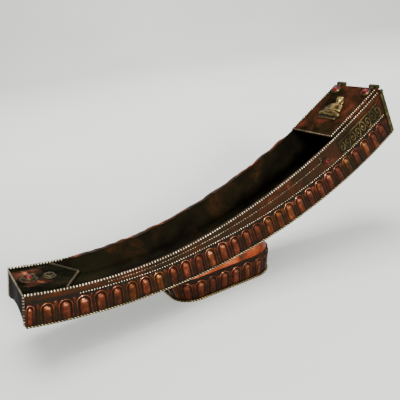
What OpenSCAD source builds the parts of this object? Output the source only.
// Incense burner: a long, shallow copper trough that curves up at one end and stands on an oval
// lotus foot. The low end has a fixed pointed cover with a stick holder and a stone; the high end
// has a hinged cover with a seated figure and two stones. Beaded wires and lotus petals dress the
// side walls. Origin: centre of the foot's flat underside. +X runs to the high end, +Z is up, and
// the front wall is on -Y. Millimetres.

/* [Trough] */
// Width over the outer faces of the two side walls
trough_w = 51; // [47:0.5:55]
// Sheet thickness of the side walls and end plates
wall_t = 1.2; // [0.8:0.1:1.6]
// Sheet thickness of the floor
floor_t = 1.2; // [0.8:0.1:1.6]
// Height of the floor's underside above the lower edge of the side walls
floor_lift = 5.6; // [5:0.1:7]
// Rise of the arch cut in the low end plate's lower edge
end_arch_rise = 4.4; // [2:0.1:4.8]

/* [Petals and wires] */
// Height of the petal band on the side walls
band_h = 16.4; // [15:0.1:17]
// Large petals along each side wall
side_petals = 30; // [22:1:32]
// Radius of the beaded wire along the rim
rim_wire_r = 1; // [0.8:0.05:1.2]
// Radius of the fine beaded wires
fine_wire_r = 0.65; // [0.5:0.05:0.75]
// Radius of the wire along the lower edge
bottom_wire_r = 0.85; // [0.7:0.05:1]

/* [Foot] */
// Half length of the foot at the table
foot_half_l = 39; // [36:0.5:41]
// Half width of the foot at the table
foot_half_w = 21; // [19:0.5:22]
// Plan radius of the foot's corners at the table
foot_corner_r = 16; // [14:0.5:18]
// Height of the foot's petal band
foot_band_h = 18.6; // [16:0.2:19]
// How far the petal band leans out over its height
foot_flare = 3.6; // [2:0.1:4]
// Petals around the foot
foot_petals = 23; // [16:1:24]

/* [Covers] */
// Length of the low cover from the end plate to its shoulders
low_cover_l = 27.5; // [24:0.5:30]
// Length of the low cover's point beyond its shoulders
low_point_l = 15.5; // [10:0.5:18]
// Length of the hinged cover up the slope
lid_l = 55; // [50:0.5:56]
// Bore radius of the incense stick holder
stick_bore_r = 2.2; // [1.6:0.1:2.6]
// Outer radius of the two hinge barrels
knuckle_r = 1.7; // [1.5:0.05:1.7]

/* [Hidden] */

// smoothness of the long arcs and of the small round features
arc_fn = 720;
round_fn = 48;
ball_fn = 32;

// side profile, in the XZ plane: lower edge arc, then the rim as two tangent arcs
low_c = [-54.3, 447.7];
low_r = 426.5;
rim_c1 = [-72, 335.2];
rim_r1 = 292.2;
rim_join = 11.5;
rim_r2 = 491.5;
rim_c2 = rim_c1 + (rim_r1 - rim_r2) * [sin(rim_join), -cos(rim_join)];
// end cuts: arc angles of the lower corners, and lean of the high end
end_a0 = -12.3;
end_a1 = 30.4;
high_lean = 17;
// arc angles where the rim meets the two ends
rim_a0 = -13.75;
rim_a1 = 32.25;
// room beyond the profile for cutting shapes
cut = 60;

wall_out = trough_w / 2;
wall_in = wall_out - wall_t;
fit_gap = 0.05;
low_corner = low_c + low_r * [sin(end_a0), -cos(end_a0)];
high_corner = low_c + low_r * [sin(end_a1), -cos(end_a1)];
low_end_h = 20.6;
high_end_h = 34.6;
copper_dark = [0.35, 0.2, 0.15];
copper_bright = [0.78, 0.4, 0.25];
brass_pale = [0.85, 0.75, 0.5];
brass_olive = [0.55, 0.47, 0.25];
stone_red = [0.75, 0.1, 0.12];

// fine wire levels on the side walls, as radii about the lower arc's centre
petal_wire_level = low_r - band_h - fine_wire_r - 0.1;
petal_wire_a0 = -7.1;
petal_wire_a1 = 30.5;
// the middle wire rises along an arc of its own, in the XZ plane
mid_c = [-81, 481];
mid_r = 441.8;
mid_a0 = 4;
mid_a1 = 22.4;

// hinged cover: start of its chord on the rim, slope, sheet and gap above the rim
lid_start = [103, 88.4];
lid_slope = 29;
lid_t = 1.2;
lid_gap = 0.35;
lid_top = lid_gap + lid_t;
lid_half_w = wall_out - 0.7;
lid_overhang = 1.2;
// hinge axis in the cover's own frame
hinge_x = 56.2;
hinge_z = 1.2;
hinge_y = 18.5;
pin_r = 0.7;
pin_clearance = 0.06;
knuckle_l = 2.6;
knuckle_gap = 0.35;

// low cover frame: it starts at the low end's rim and slopes down to its point
low_rim = low_corner + low_end_h * [-sin(end_a0), cos(end_a0)];
low_slope = 11.3;
low_cover_t = 1;
low_cover_drop = 0.3;
// stick holder and stone along the low cover, from the low end
holder_x = 21.5;
low_stone_x = 8;

// ---- plane shapes in the XZ plane ----

function low_end_pt(s) = low_corner + s * [-sin(end_a0), cos(end_a0)];
function high_end_pt(s) = high_corner + s * [-sin(high_lean), cos(high_lean)];

// everything between the two end cuts
module end_cuts() {
    polygon([low_end_pt(cut), low_end_pt(-cut), [low_corner[0], -2 * cut],
        [high_corner[0] + cut, -2 * cut], high_end_pt(-cut), high_end_pt(cut)]);
}

// the space above the rim
module above_rim() {
    far = 900;
    u = far * [sin(rim_join), -cos(rim_join)];
    v = far * [cos(rim_join), sin(rim_join)];
    translate(rim_c1)
        circle(rim_r1, $fn = arc_fn);
    intersection() {
        translate(rim_c2)
            circle(rim_r2, $fn = arc_fn);
        polygon([rim_c1 - u, rim_c1 + u, rim_c1 + u + v, rim_c1 - u + v]);
    }
}

module wall_outline() {
    difference() {
        intersection() {
            translate(low_c)
                circle(low_r, $fn = arc_fn);
            end_cuts();
        }
        above_rim();
    }
}

// a strip between two radii about the lower arc's centre
module strip(r0, r1) {
    intersection() {
        translate(low_c)
            difference() {
                circle(r1, $fn = arc_fn);
                circle(r0, $fn = arc_fn);
            }
        end_cuts();
    }
}

// a petal standing on the X axis: straight sides under a slightly wider round top
module petal(w, h) {
    foot_w = 0.92 * w;
    translate([-foot_w / 2, 0])
        square([foot_w, h - w / 2]);
    translate([0, h - w / 2])
        circle(w / 2, $fn = round_fn);
}

// ---- placing ----

// stands an XZ shape up and gives it a thickness, from y0 outwards on the front side
module front_sheet(y0, t) {
    translate([0, -y0, 0])
        rotate([90, 0, 0])
            linear_extrude(t)
                children();
}

module back_copy() {
    mirror([0, 1, 0])
        children();
}

// revolves a section about an XZ centre, from angle a0 to a1 measured from straight down
module sweep_arc(c, a0, a1, fn = arc_fn) {
    translate([c[0], 0, c[1]])
        rotate([90, 0, 0])
            rotate([0, 0, a0 - 90])
                rotate_extrude(angle = a1 - a0, $fn = fn)
                    children();
}

// wire section: a circle with its back cut flat against the wall
module wire_section(level, r) {
    intersection() {
        translate([level, wall_out + 0.4 * r])
            circle(r, $fn = round_fn);
        translate([level - 2 * r, wall_out])
            square([4 * r, 4 * r]);
    }
}

module arc_wire(c, level, r, a0, a1) {
    sweep_arc(c, a0, a1)
        wire_section(level, r);
}

module in_lid() {
    translate([lid_start[0], 0, lid_start[1]])
        rotate([0, -lid_slope, 0])
            children();
}

module in_low_cover() {
    translate([low_rim[0], 0, low_rim[1]])
        rotate([0, low_slope, 0])
            children();
}

module in_low_end() {
    translate([low_corner[0], 0, low_corner[1]])
        rotate([0, -end_a0, 0])
            children();
}

module in_high_end() {
    translate([high_corner[0], 0, high_corner[1]])
        rotate([0, -high_lean, 0])
            children();
}

// a straight wire along local X, flat underneath
module half_wire_x(l, r) {
    rotate([90, 0, 90])
        linear_extrude(l)
            intersection() {
                translate([0, 0.4 * r])
                    circle(r, $fn = round_fn);
                translate([-2 * r, 0])
                    square([4 * r, 4 * r]);
            }
}

// ---- trough ----

module front_wall() {
    color(copper_dark)
        front_sheet(wall_in, wall_t)
            wall_outline();
}

module back_wall() {
    back_copy()
        front_wall();
}

// end plate at the low end, with a shallow arch in its lower edge
module low_end_plate() {
    plate_w = 2 * (wall_in - fit_gap);
    arch_side = 2.5;
    cover_room = low_cover_t + low_cover_drop + fit_gap;
    arch_chord = plate_w - 2 * arch_side;
    arch_r = (pow(arch_chord / 2, 2) + pow(end_arch_rise, 2)) / (2 * end_arch_rise);
    color(copper_bright)
        in_low_end()
            difference() {
                translate([0, -plate_w / 2, 0])
                    cube([wall_t, plate_w, low_end_h - cover_room]);
                translate([-1, 0, end_arch_rise - arch_r])
                    rotate([0, 90, 0])
                        cylinder(h = wall_t + 2, r = arch_r, $fn = arc_fn);
            }
}

module high_end_plate() {
    plate_w = 2 * (wall_in - fit_gap);
    rim_room = 0.3;
    color(copper_dark)
        in_high_end()
            translate([-wall_t, -plate_w / 2, 0])
                cube([wall_t, plate_w, high_end_h - rim_room]);
}

// curved floor, soldered between the walls above their lower edges
module floor_pan() {
    floor_w = 2 * (wall_in - fit_gap);
    r_under = low_r - floor_lift;
    end_room = 1.6;
    color(copper_dark)
        intersection() {
            translate([0, floor_w / 2, 0])
                rotate([90, 0, 0])
                    linear_extrude(floor_w)
                        strip(r_under - floor_t, r_under);
            translate([0, floor_w, 0])
                rotate([90, 0, 0])
                    linear_extrude(2 * floor_w)
                        polygon([low_end_pt(cut) + [end_room, 0], low_end_pt(-cut) + [end_room, 0],
                            [high_corner[0], -2 * cut], high_end_pt(-cut) - [end_room, 0],
                            high_end_pt(cut) - [end_room, 0]]);
        }
}

// petals standing on the lower edge and fanning with its curve
petal_margin = 0.45;
petal_step = (end_a1 - end_a0 - 2 * petal_margin) / side_petals;
petal_pitch = low_r * petal_step * PI / 180;
petal_foot = 0.9;
petal_ground_t = 0.4;
// widths of the three petal layers, as shares of the pitch
small_w = 0.2;
large_w = 0.72;
tongue_w = 0.4;

module each_petal(shift) {
    for (i = [0:side_petals - 1 - (shift > 0 ? 1 : 0)])
        translate(low_c)
            rotate(end_a0 + petal_margin + (i + 0.5 + shift) * petal_step)
                translate([0, petal_foot - low_r])
                    children();
}

module front_petal_band() {
    sink = 0.2;
    small_t = 0.9;
    large_t = 1.2;
    tongue_t = 1.7;
    color(copper_bright)
        union() {
            front_sheet(wall_out, petal_ground_t)
                strip(low_r - band_h, low_r);
            front_sheet(wall_out + sink, small_t - sink)
                each_petal(0.5)
                    petal(petal_pitch * small_w, band_h - 3.8);
            front_sheet(wall_out + sink, large_t - sink)
                each_petal(0)
                    petal(petal_pitch * large_w, band_h - 1.8);
            front_sheet(wall_out + large_t - sink, tongue_t - large_t + sink)
                each_petal(0)
                    petal(petal_pitch * tongue_w, band_h - 4);
        }
}

module back_petal_band() {
    back_copy()
        front_petal_band();
}

// beaded wire on the outer edge of the rim
module front_rim_wire() {
    strip_room = 0.36;
    color(brass_pale)
        union() {
            arc_wire(rim_c1, rim_r1, rim_wire_r, rim_a0, rim_join);
            arc_wire(rim_c2, rim_r2, rim_wire_r, rim_join, rim_a1 - strip_room);
        }
}

module back_rim_wire() {
    back_copy()
        front_rim_wire();
}

// middle wire, ending in a small curl beside the side stone
module front_mid_wire() {
    curl_r = 2.2;
    curl_turn = 150;
    seam = 1.5;
    tip = mid_c + mid_r * [sin(mid_a1), -cos(mid_a1)];
    inward = [-sin(mid_a1), cos(mid_a1)];
    curl_c = tip + curl_r * inward;
    color(brass_pale)
        union() {
            arc_wire(mid_c, mid_r, fine_wire_r, mid_a0, mid_a1);
            sweep_arc(curl_c, mid_a1 + seam, mid_a1 + curl_turn, round_fn)
                wire_section(curl_r, fine_wire_r);
        }
}

module back_mid_wire() {
    back_copy()
        front_mid_wire();
}

module front_petal_wire() {
    color(brass_pale)
        arc_wire(low_c, petal_wire_level, fine_wire_r, petal_wire_a0, petal_wire_a1);
}

module back_petal_wire() {
    back_copy()
        front_petal_wire();
}

// wire along the lower edge, carried on the petal band's foot
module front_bottom_wire() {
    color(brass_olive)
        sweep_arc(low_c, end_a0, end_a1)
            intersection() {
                translate([low_r + 0.45 * bottom_wire_r, wall_out + 0.6])
                    circle(bottom_wire_r, $fn = round_fn);
                translate([low_r + fit_gap, wall_out - 2 * bottom_wire_r])
                    square(4 * bottom_wire_r);
            }
}

module back_bottom_wire() {
    back_copy()
        front_bottom_wire();
}

// beaded wires up the two corners of the low end
module low_corner_wires() {
    wire_r = 0.95;
    rim_room = 0.3;
    color(brass_pale)
        for (side = [-1, 1])
            in_low_end()
                translate([0, side * (wall_out - wire_r), 0])
                    rotate([0, -90, 0])
                        half_wire_x(low_end_h - rim_room, wire_r);
}

module low_end_top_wire() {
    wire_r = 0.6;
    below_rim = 1.2;
    corner_room = 1;
    span = 2 * (wall_in - corner_room);
    color(brass_pale)
        in_low_end()
            translate([0, span / 2, low_end_h - below_rim])
                rotate([90, 0, 0])
                    rotate([0, -90, 0])
                        half_wire_x(span, wire_r);
}

// angle strips up the two corners of the high end, with a ball on top of each
module high_corner_strips() {
    strip_t = 0.9;
    end_leg = 2.4;
    side_leg = 2.2;
    foot_gap = 0.1;
    top_room = 0.8;
    ball_r = 1.5;
    lap = 0.2;
    out = petal_ground_t + strip_t;
    leg_h = high_end_h - foot_gap - top_room;
    fill_z = band_h + 1.2;
    fill_h = high_end_h - fill_z - top_room;
    color(brass_olive)
        for (side = [0, 1])
            mirror([0, side, 0])
                in_high_end()
                    union() {
                        translate([0, -wall_out - out, foot_gap])
                            cube([strip_t, end_leg + out, high_end_h - foot_gap]);
                        translate([-side_leg, -wall_out - out, foot_gap])
                            cube([side_leg + strip_t, strip_t, leg_h]);
                        translate([-side_leg, -wall_out - petal_ground_t - lap, fill_z])
                            cube([side_leg + strip_t, petal_ground_t + lap, fill_h]);
                        translate([ball_r + lap, -wall_out + end_leg / 2, high_end_h])
                            sphere(ball_r, $fn = ball_fn);
                    }
}

// pierced scroll panel on the high part of each side wall
panel_a0 = 23.6;
panel_a1 = 30.3;
panel_top_level = low_r - band_h - 14;

module panel_cut() {
    polygon([low_c, low_c + 2 * low_r * [sin(panel_a0), -cos(panel_a0)],
        low_c + 2 * low_r * [sin(panel_a1), -cos(panel_a1)]]);
}

module front_scroll_panel() {
    panel_t = 0.5;
    rib_t = 1;
    scrolls = 4;
    scroll_r = 4.2;
    scroll_bore_r = 3.3;
    scroll_lift = 5.6;
    wire_room = 0.15;
    panel_low = petal_wire_level - fine_wire_r - wire_room;
    panel_slope = 0.9;
    rib_w = 0.8;
    rim_room = 4.6;
    top_shape_r = rim_r2 + rim_room;
    color(brass_olive)
        union() {
            front_sheet(wall_out, panel_t)
                difference() {
                    intersection() {
                        strip(panel_top_level - 4, panel_low);
                        panel_cut();
                    }
                    translate(rim_c2)
                        circle(top_shape_r, $fn = arc_fn);
                }
            front_sheet(wall_out, rib_t)
                intersection() {
                    difference() {
                        translate(rim_c2)
                            circle(top_shape_r + rib_w, $fn = arc_fn);
                        translate(rim_c2)
                            circle(top_shape_r, $fn = arc_fn);
                    }
                    panel_cut();
                }
            front_sheet(wall_out, rib_t)
                for (i = [0:scrolls - 1])
                    translate(low_c)
                        rotate(panel_a0 + (i + 0.6) * (panel_a1 - panel_a0) / scrolls)
                            translate([0, scroll_lift + i * panel_slope - panel_low])
                                difference() {
                                    circle(scroll_r, $fn = round_fn);
                                    circle(scroll_bore_r, $fn = round_fn);
                                }
        }
}

module back_scroll_panel() {
    back_copy()
        front_scroll_panel();
}

// round stone in a ring setting, on each side wall at the end of the middle wire
side_stone_a = 21.55;
side_stone_level = 403.2;
side_stone_r = 2.2;

module in_side_stone() {
    p = low_c + side_stone_level * [sin(side_stone_a), -cos(side_stone_a)];
    for (side = [0, 1])
        mirror([0, side, 0])
            translate([p[0], -wall_out, p[1]])
                rotate([90, 0, 0])
                    children();
}

module side_bezels() {
    ring_h = 1.3;
    ring_r = 3;
    color(brass_olive)
        in_side_stone()
            difference() {
                cylinder(h = ring_h, r = ring_r, $fn = round_fn);
                translate([0, 0, -1])
                    cylinder(h = ring_h + 2, r = side_stone_r + 0.1, $fn = round_fn);
            }
}

module side_stones() {
    color(stone_red)
        in_side_stone()
            dome(side_stone_r, side_stone_r);
}

// a round stone with a flat back: a ball cap of radius r at the base and height h
module dome(r, h) {
    big = (r * r + h * h) / (2 * h);
    intersection() {
        translate([0, 0, h - big])
            sphere(big, $fn = round_fn);
        cylinder(h = h + 1, r = r, $fn = round_fn);
    }
}

// ---- low cover ----

module low_cover_outline(inset) {
    w = wall_in - fit_gap - inset;
    tip = low_cover_l + low_point_l - 1.3 * inset;
    polygon([[fit_gap, -w], [low_cover_l - inset, -w], [tip, 0], [low_cover_l - inset, w], [fit_gap, w]]);
}

module low_cover() {
    color(copper_dark)
        in_low_cover()
            translate([0, 0, -low_cover_t - low_cover_drop])
                difference() {
                    linear_extrude(low_cover_t)
                        low_cover_outline(0);
                    translate([holder_x, 0, -1])
                        cylinder(h = low_cover_t + 2, r = stick_bore_r, $fn = round_fn);
                }
}

// raised wire around the cover's pointed edge
module low_cover_lip() {
    lip_r = 0.9;
    edge_inset = 1.6;
    tip_inset = 1.9;
    w = wall_in - edge_inset;
    tip = [low_cover_l + low_point_l - tip_inset, 0];
    shoulder = [low_cover_l - 0.4, w];
    d = tip - shoulder;
    color(copper_dark)
        in_low_cover()
            translate([0, 0, -low_cover_drop])
                for (side = [0, 1])
                    mirror([0, side, 0])
                        intersection() {
                            translate([shoulder[0], shoulder[1], 0])
                                rotate([0, 0, atan2(d[1], d[0])])
                                    half_wire_x(norm(d) + 2, lip_r);
                            translate([0, 0, -1])
                                cube([80, 40, 6]);
                        }
}

// short tube that an incense stick stands in
module stick_holder() {
    flange_r = 4.6;
    tube_r = 3.6;
    color(brass_olive)
        in_low_cover()
            translate([holder_x, 0, -low_cover_drop])
                difference() {
                    union() {
                        cylinder(h = 0.8, r = flange_r, $fn = round_fn);
                        cylinder(h = 2.6, r = tube_r, $fn = round_fn);
                    }
                    translate([0, 0, -1])
                        cylinder(h = 6, r = stick_bore_r, $fn = round_fn);
                }
}

module low_stone_collar() {
    cup_room_r = 4.3;
    collar_r = 6.3;
    color(copper_bright)
        in_low_cover()
            translate([low_stone_x, 0, -low_cover_drop])
                difference() {
                    cylinder(h = 0.8, r = collar_r, $fn = round_fn);
                    translate([0, 0, -1])
                        cylinder(h = 4, r = cup_room_r, $fn = round_fn);
                }
}

module low_stone_cup() {
    cup_r = 4.2;
    cup_bore_r = 3.3;
    cup_floor = 0.6;
    color(brass_olive)
        in_low_cover()
            translate([low_stone_x, 0, -low_cover_drop])
                difference() {
                    cylinder(h = 2.2, r = cup_r, $fn = round_fn);
                    translate([0, 0, cup_floor])
                        cylinder(h = 4, r = cup_bore_r, $fn = round_fn);
                }
}

module low_stone() {
    color(stone_red)
        in_low_cover()
            translate([low_stone_x, 0, 0.65 - low_cover_drop])
                dome(2.4, 2.4);
}

// ---- foot ----

foot_cx = foot_half_l - foot_corner_r;
foot_cy = foot_half_w - foot_corner_r;

// sweeps a section around the foot's plan; section x is measured from the corner centres
module foot_sweep() {
    for (sx = [0, 1])
        for (sy = [0, 1])
            mirror([sx, 0, 0])
                mirror([0, sy, 0])
                    translate([foot_cx, foot_cy, 0])
                        rotate_extrude(angle = 90, $fn = 144)
                            children();
    for (sy = [0, 1])
        mirror([0, sy, 0])
            translate([-foot_cx, foot_cy, 0])
                rotate([90, 0, 90])
                    linear_extrude(2 * foot_cx)
                        children();
    for (sx = [0, 1])
        mirror([sx, 0, 0])
            translate([foot_cx, foot_cy, 0])
                rotate([90, 0, 0])
                    linear_extrude(2 * foot_cy)
                        children();
}

foot_sheet = 1;

module foot_plan(r) {
    square([2 * (foot_cx + r), 2 * foot_cy], center = true);
    square([2 * foot_cx, 2 * (foot_cy + r)], center = true);
    for (sx = [-1, 1])
        for (sy = [-1, 1])
            translate([sx * foot_cx, sy * foot_cy])
                circle(r, $fn = 144);
}

module foot_base() {
    color(copper_dark)
        linear_extrude(foot_sheet)
            foot_plan(foot_corner_r - foot_sheet - fit_gap);
}

// place on the foot's plan at distance s along it, from the middle of the front side
function foot_turn(s, r) =
    let(a = PI * r / 2)
    let(q1 = foot_cx)
    let(q2 = q1 + a)
    let(q3 = q2 + 2 * foot_cy)
    let(q4 = q3 + a)
    let(q5 = q4 + 2 * foot_cx)
    let(q6 = q5 + a)
    let(q7 = q6 + 2 * foot_cy)
    let(q8 = q7 + a)
    s < q1 ? [s, -foot_cy, 0]
    : s < q2 ? [foot_cx, -foot_cy, 90 * (s - q1) / a]
    : s < q3 ? [foot_cx, s - q2 - foot_cy, 90]
    : s < q4 ? [foot_cx, foot_cy, 90 + 90 * (s - q3) / a]
    : s < q5 ? [foot_cx - (s - q4), foot_cy, 180]
    : s < q6 ? [-foot_cx, foot_cy, 180 + 90 * (s - q5) / a]
    : s < q7 ? [-foot_cx, foot_cy - (s - q6), 270]
    : s < q8 ? [-foot_cx, -foot_cy, 270 + 90 * (s - q7) / a]
    : [s - q8 - foot_cx, -foot_cy, 0];

foot_mid_r = foot_corner_r + foot_flare / 2;
foot_len = 4 * foot_cx + 4 * foot_cy + 2 * PI * foot_mid_r;
foot_pitch = foot_len / foot_petals;
foot_lean = atan(foot_flare / foot_band_h);

// radius of the neck in the foot's plan, clear of the side walls
neck_r = min(foot_corner_r + 2.8, wall_in - fit_gap - foot_cy);
neck_t = 1;

module each_foot_petal() {
    lift = 2.5;
    for (i = [0:foot_petals - 1]) {
        p = foot_turn((i + 0.5) * foot_pitch, foot_mid_r);
        translate([p[0], p[1], 0])
            rotate([0, 0, p[2]])
                translate([0, -foot_corner_r, lift])
                    rotate([90 + foot_lean, 0, 0])
                        children();
    }
}

// flared band with a ring of lotus petals, and a ledge inside its top that carries the neck
module foot_band() {
    sink = 0.6;
    large_t = 0.9;
    large_share = 0.7;
    large_drop = 4.7;
    tongue_t = 1.5;
    tongue_share = 0.36;
    tongue_drop = 6.9;
    ledge_w = 0.6;
    ledge_r = neck_r - neck_t - ledge_w;
    slope = foot_flare / foot_band_h;
    color(copper_bright)
        union() {
            foot_sweep()
                polygon([[foot_corner_r - foot_sheet, 0], [foot_corner_r, 0],
                    [foot_corner_r + foot_flare, foot_band_h], [ledge_r, foot_band_h],
                    [ledge_r, foot_band_h - foot_sheet],
                    [foot_corner_r + foot_flare - foot_sheet * (1 + slope), foot_band_h - foot_sheet]]);
            each_foot_petal()
                translate([0, 0, -sink])
                    linear_extrude(large_t + sink)
                        petal(foot_pitch * large_share, foot_band_h - large_drop);
            each_foot_petal()
                translate([0, 0, -sink])
                    linear_extrude(tongue_t + sink)
                        petal(foot_pitch * tongue_share, foot_band_h - tongue_drop);
        }
}

module foot_bottom_wire() {
    color(brass_olive)
        foot_sweep()
            translate([foot_corner_r + bottom_wire_r + 0.25, bottom_wire_r])
                circle(bottom_wire_r, $fn = round_fn);
}

// plain waisted neck: stands on the band's ledge, runs up between the walls to the floor
module foot_neck() {
    waist = 1;
    z0 = foot_band_h;
    z1 = 34;
    z2 = 44;
    half = (z1 - foot_band_h) / 2;
    waist_r = (half * half + waist * waist) / (2 * waist);
    waist_c = [waist_r - waist, (foot_band_h + z1) / 2];
    color(copper_bright)
        difference() {
            foot_sweep()
                difference() {
                    translate([neck_r - neck_t - waist, z0])
                        square([neck_t + waist, z2 - z0]);
                    translate([neck_r, 0] + waist_c)
                        circle(waist_r, $fn = arc_fn);
                    difference() {
                        translate([neck_r - neck_t - waist - 1, z0 - 1])
                            square([waist + 1, z2]);
                        translate([neck_r - neck_t, 0] + waist_c)
                            circle(waist_r, $fn = arc_fn);
                    }
                }
            translate([0, trough_w, 0])
                rotate([90, 0, 0])
                    linear_extrude(2 * trough_w)
                        translate(low_c)
                            circle(low_r - floor_lift + fit_gap, $fn = arc_fn);
        }
}

// ---- hinge ----

// the two hinges: barrels along Y at a height of the cover's frame
module at_hinges() {
    in_lid()
        translate([hinge_x, 0, hinge_z])
            for (side = [-1, 1])
                translate([0, side * hinge_y, 0])
                    children();
}

module barrel(l, bore) {
    rotate([90, 0, 0])
        difference() {
            cylinder(h = l, r = knuckle_r, center = true, $fn = round_fn);
            cylinder(h = l + 2, r = bore, center = true, $fn = round_fn);
        }
}

module fixed_knuckles() {
    leaf_t = 0.8;
    leaf_h = 7;
    leaf_open_h = 3;
    step = knuckle_l + knuckle_gap;
    bore = pin_r + 0.02;
    color(brass_olive)
        difference() {
            union() {
                at_hinges()
                    for (k = [-1, 1])
                        translate([0, k * step, 0])
                            rotate([90, 0, 0])
                                cylinder(h = knuckle_l, r = knuckle_r, center = true, $fn = round_fn);
                for (side = [-1, 1])
                    for (k = [-1, 1])
                        in_high_end()
                            translate([0, side * hinge_y + k * step - knuckle_l / 2, high_end_h - leaf_h])
                                cube([leaf_t, knuckle_l, leaf_h]);
                for (side = [-1, 1])
                    in_high_end()
                        translate([0, side * hinge_y - step - knuckle_l / 2, high_end_h - leaf_h])
                            cube([leaf_t, 2 * step + knuckle_l, leaf_h - leaf_open_h]);
            }
            at_hinges()
                rotate([90, 0, 0])
                    cylinder(h = 30, r = bore, center = true, $fn = round_fn);
        }
}

module hinge_pins() {
    pin_l = 3 * knuckle_l + 2 * knuckle_gap + 0.6;
    color(brass_pale)
        at_hinges()
            rotate([90, 0, 0])
                cylinder(h = pin_l, r = pin_r, center = true, $fn = round_fn);
}

// ---- hinged cover ----

module lid_plate() {
    hinge_room = 0.8;
    color(copper_dark)
        in_lid()
            translate([-lid_overhang, -lid_half_w, lid_gap])
                cube([lid_l + lid_overhang - hinge_room, 2 * lid_half_w, lid_t]);
}

module lid_knuckles() {
    tongue_t = 0.7;
    lap = 1.2;
    tongue_x = lid_l - lid_overhang - lap;
    color(brass_olive)
        union() {
            at_hinges()
                barrel(knuckle_l, pin_r + pin_clearance);
            in_lid()
                for (side = [-1, 1])
                    difference() {
                        translate([tongue_x, side * hinge_y - knuckle_l / 2, lid_top])
                            cube([hinge_x - tongue_x, knuckle_l, tongue_t]);
                        translate([hinge_x, side * hinge_y, hinge_z])
                            rotate([90, 0, 0])
                                cylinder(h = 20, r = pin_r + pin_clearance, center = true, $fn = round_fn);
                    }
        }
}

module lid_edge_wires() {
    wire_r = 0.8;
    end_room = 1.4;
    color(brass_pale)
        in_lid()
            for (side = [-1, 1])
                translate([-lid_overhang, side * (lid_half_w - wire_r), lid_top])
                    half_wire_x(lid_l - end_room, wire_r);
}

module lid_inner_wire() {
    wire_r = 0.7;
    side_room = 2.2;
    span = 2 * (lid_half_w - side_room);
    color(brass_pale)
        in_lid()
            translate([wire_r - lid_overhang, span / 2, lid_top])
                rotate([0, 0, -90])
                    half_wire_x(span, wire_r);
}

lid_stone_x = 48;
lid_stone_y = 17;

module at_lid_stones() {
    in_lid()
        for (side = [-1, 1])
            translate([lid_stone_x, side * lid_stone_y, lid_top])
                children();
}

module lid_bezels() {
    bezel_r = 4.2;
    bezel_bore_r = 3.3;
    bezel_floor = 0.5;
    color(brass_olive)
        at_lid_stones()
            difference() {
                cylinder(h = 1.8, r = bezel_r, $fn = round_fn);
                translate([0, 0, bezel_floor])
                    cylinder(h = 4, r = bezel_bore_r, $fn = round_fn);
            }
}

module lid_stones() {
    color(stone_red)
        at_lid_stones()
            translate([0, 0, 0.55])
                dome(3, 2.6);
}

// a limb: a taper between two points, sunk into a ball at its far end
module limb(a, b, r0, r1, ball) {
    d = b - a;
    l = norm(d);
    translate(a)
        rotate([0, acos(d[2] / l), atan2(d[1], d[0])])
            cylinder(h = l, r1 = r0, r2 = r1, $fn = ball_fn);
    translate(b)
        sphere(ball, $fn = ball_fn);
}

// cross-legged figure in high relief, lying back on the cover with its head to the high end
module seated_figure() {
    base_x = 15.6;
    base_y = -1.2;
    sunk = 1;
    color(brass_olive)
        in_lid()
            translate([base_x, base_y, lid_top - sunk])
                difference() {
                    union() {
                        // seat
                        translate([0.2, -9.5, 0])
                            cube([3.9, 19, 1.9]);
                        // folded legs, each running to its knee
                        limb([6.2, 2, 2.1], [4.7, 9.6, 1.7], 2.4, 2, 2.4);
                        limb([6, -2.2, 2.2], [4.8, -9.7, 1.8], 2.45, 2.05, 2.45);
                        // trunk
                        translate([4.8, 0, 1.6])
                            rotate([0, 90, 0])
                                cylinder(h = 6, r1 = 4.6, r2 = 4, $fn = ball_fn);
                        translate([10.7, 0, 1.3])
                            rotate([0, 90, 0])
                                cylinder(h = 3.8, r1 = 4.05, r2 = 5.4, $fn = ball_fn);
                        translate([14.4, 0, 1.25])
                            rotate([0, 90, 0])
                                cylinder(h = 1.7, r1 = 5.3, r2 = 2.2, $fn = ball_fn);
                        // arms, each to its elbow
                        limb([13.9, 4.6, 2], [8.9, 7.4, 2.1], 1.8, 1.45, 1.7);
                        limb([13.8, -4.5, 2.1], [8.8, -7.5, 2.2], 1.85, 1.5, 1.75);
                        // hands in the lap
                        translate([7.2, 0.2, 4.6])
                            sphere(1.9, $fn = ball_fn);
                        // neck, head and knot of hair
                        translate([15.4, 0, 2.6])
                            rotate([0, 90, 0])
                                cylinder(h = 2.6, r1 = 1.6, r2 = 1.4, $fn = ball_fn);
                        translate([18.8, 0, 3.1])
                            sphere(2.9, $fn = ball_fn);
                        translate([21.7, 0, 3])
                            sphere(1.4, $fn = ball_fn);
                    }
                    translate([-10, -20, sunk - 10])
                        cube([60, 40, 10]);
                }
}

front_wall();
back_wall();
low_end_plate();
high_end_plate();
floor_pan();
front_petal_band();
back_petal_band();
front_rim_wire();
back_rim_wire();
front_mid_wire();
back_mid_wire();
front_petal_wire();
back_petal_wire();
front_bottom_wire();
back_bottom_wire();
low_corner_wires();
low_end_top_wire();
high_corner_strips();
front_scroll_panel();
back_scroll_panel();
side_bezels();
side_stones();
low_cover();
low_cover_lip();
stick_holder();
low_stone_cup();
low_stone_collar();
low_stone();
foot_base();
foot_band();
foot_bottom_wire();
foot_neck();
fixed_knuckles();
hinge_pins();
lid_plate();
lid_edge_wires();
lid_inner_wire();
lid_knuckles();
lid_bezels();
lid_stones();
seated_figure();
